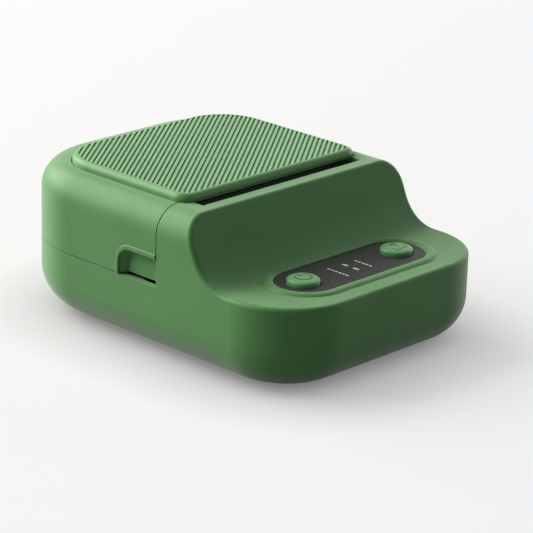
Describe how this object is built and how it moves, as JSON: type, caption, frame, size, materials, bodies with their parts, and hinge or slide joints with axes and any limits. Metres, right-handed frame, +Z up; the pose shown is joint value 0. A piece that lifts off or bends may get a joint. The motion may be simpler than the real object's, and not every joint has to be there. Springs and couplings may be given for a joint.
{
  "type": "thermal label printer",
  "caption": "Compact desktop thermal label printer: rounded housing with a low button deck in front, hinged rear cover with ribbed lid, roll tray with linked guides, and a geared platen.",
  "frame": {"origin": "on the table, under the middle of the body's plan outline", "axes": "+X to the printer's right, +Y to its back, +Z up"},
  "size_m": [0.0998, 0.131, 0.0531],
  "materials": {
    "shell_green": "fine moulded grain, mid green",
    "button_green": "smooth moulded caps, green",
    "panel_black": "smooth black pill",
    "lamp_clear": "clear light pipes",
    "dark_plastic": "dark grey moulding",
    "white_plastic": "natural acetal",
    "black_rubber": "soft matt rubber",
    "steel": "bright machined steel",
    "sheet_metal": "zinc plated sheet",
    "aluminium": "plain rolled",
    "ceramic": "glazed strip",
    "board_green": "solder mask",
    "battery_wrap": "shrink wrap",
    "cable_jacket": "flexible jacket",
    "ribbon_tan": "polyimide strip"
  },
  "bodies": {
    "base": {"main_housing": "shell_green", "base_plate": "shell_green", "control_panel": "panel_black", "light_pipes": "lamp_clear", "roll_tray": "dark_plastic", "power_switch": "dark_plastic", "feed_switch": "dark_plastic", "label_sensor": "dark_plastic", "rubber_feet": "black_rubber", "idler_post": "steel", "head_pivot_pin": "steel", "head_springs": "steel", "hinge_pin": "steel", "base_screws": "steel", "chassis_screws": "steel", "tray_screws": "steel", "board_screws": "steel", "tear_bar": "steel", "usb_socket": "steel", "print_chassis": "sheet_metal", "feed_motor": "sheet_metal", "button_board": "board_green", "main_board": "board_green", "usb_board": "board_green", "battery_pack": "battery_wrap", "battery_lead": "cable_jacket", "usb_cable": "cable_jacket", "head_ribbon_cable": "ribbon_tan"},
    "cover": {"top_cover": "shell_green", "lid_panel": "shell_green", "platen_carrier": "dark_plastic", "platen_bushings": "white_plastic", "panel_screws": "steel", "carrier_screws": "steel"},
    "platen": {"platen_shaft": "steel", "platen_roller": "black_rubber", "platen_gear": "white_plastic"},
    "idler": {"idler_gear": "white_plastic"},
    "motor_rotor": {"motor_pinion": "steel", "motor_shaft": "steel"},
    "power_key": {"power_button": "button_green", "power_plunger": "white_plastic"},
    "feed_key": {"feed_button": "button_green", "feed_plunger": "white_plastic"},
    "guide_left": {"roll_guide_left": "white_plastic", "guide_rack_left": "white_plastic"},
    "guide_right": {"roll_guide_right": "white_plastic", "guide_rack_right": "white_plastic"},
    "guide_gear": {"guide_pinion": "white_plastic"},
    "head": {"head_heatsink": "aluminium", "print_head": "ceramic"}
  },
  "joints": [
    {"name": "cover_hinge", "type": "hinge", "parent": "base", "child": "cover", "pos_m": [0, 0.0629, 0.0247], "axis": [-1, 0, 0], "range_deg": [0, 95]},
    {"name": "platen_spin", "type": "hinge", "parent": "cover", "child": "platen", "pos_m": [0, -0.0064, 0.0395], "axis": [1, 0, 0], "continuous": true},
    {"name": "idler_spin", "type": "hinge", "parent": "base", "child": "idler", "pos_m": [-0.033, -0.00922, 0.0263], "axis": [1, 0, 0], "continuous": true},
    {"name": "motor_spin", "type": "hinge", "parent": "base", "child": "motor_rotor", "pos_m": [-0.033, -0.01524, 0.0177], "axis": [1, 0, 0], "continuous": true},
    {"name": "power_press", "type": "slide", "parent": "base", "child": "power_key", "axis": [0, 0, -1], "range_m": [0, 0.0005], "stiffness_N_per_m": 2000},
    {"name": "feed_press", "type": "slide", "parent": "base", "child": "feed_key", "axis": [0, 0, -1], "range_m": [0, 0.0005], "stiffness_N_per_m": 2000},
    {"name": "guide_left_slide", "type": "slide", "parent": "base", "child": "guide_left", "axis": [1, 0, 0], "range_m": [0, 0.015]},
    {"name": "guide_right_slide", "type": "slide", "parent": "base", "child": "guide_right", "axis": [-1, 0, 0], "range_m": [0, 0.015]},
    {"name": "guide_gear_spin", "type": "hinge", "parent": "base", "child": "guide_gear", "pos_m": [0, 0.0335, 0.005], "axis": [0, 0, 1], "range_deg": [0, 172]},
    {"name": "head_yield", "type": "hinge", "parent": "base", "child": "head", "pos_m": [0, -0.01395, 0.0302], "axis": [1, 0, 0], "range_deg": [0, 2], "stiffness_Nm_per_rad": 0.2, "deforming": ["head_springs"]}
  ],
  "couplings": [
    {"joint": "idler_spin", "follows": "platen_spin", "ratio": -0.8},
    {"joint": "motor_spin", "follows": "platen_spin", "ratio": 2},
    {"joint": "guide_right_slide", "follows": "guide_left_slide", "ratio": 1},
    {"joint": "guide_gear_spin", "follows": "guide_left_slide", "rad_per_m": 200}
  ]
}
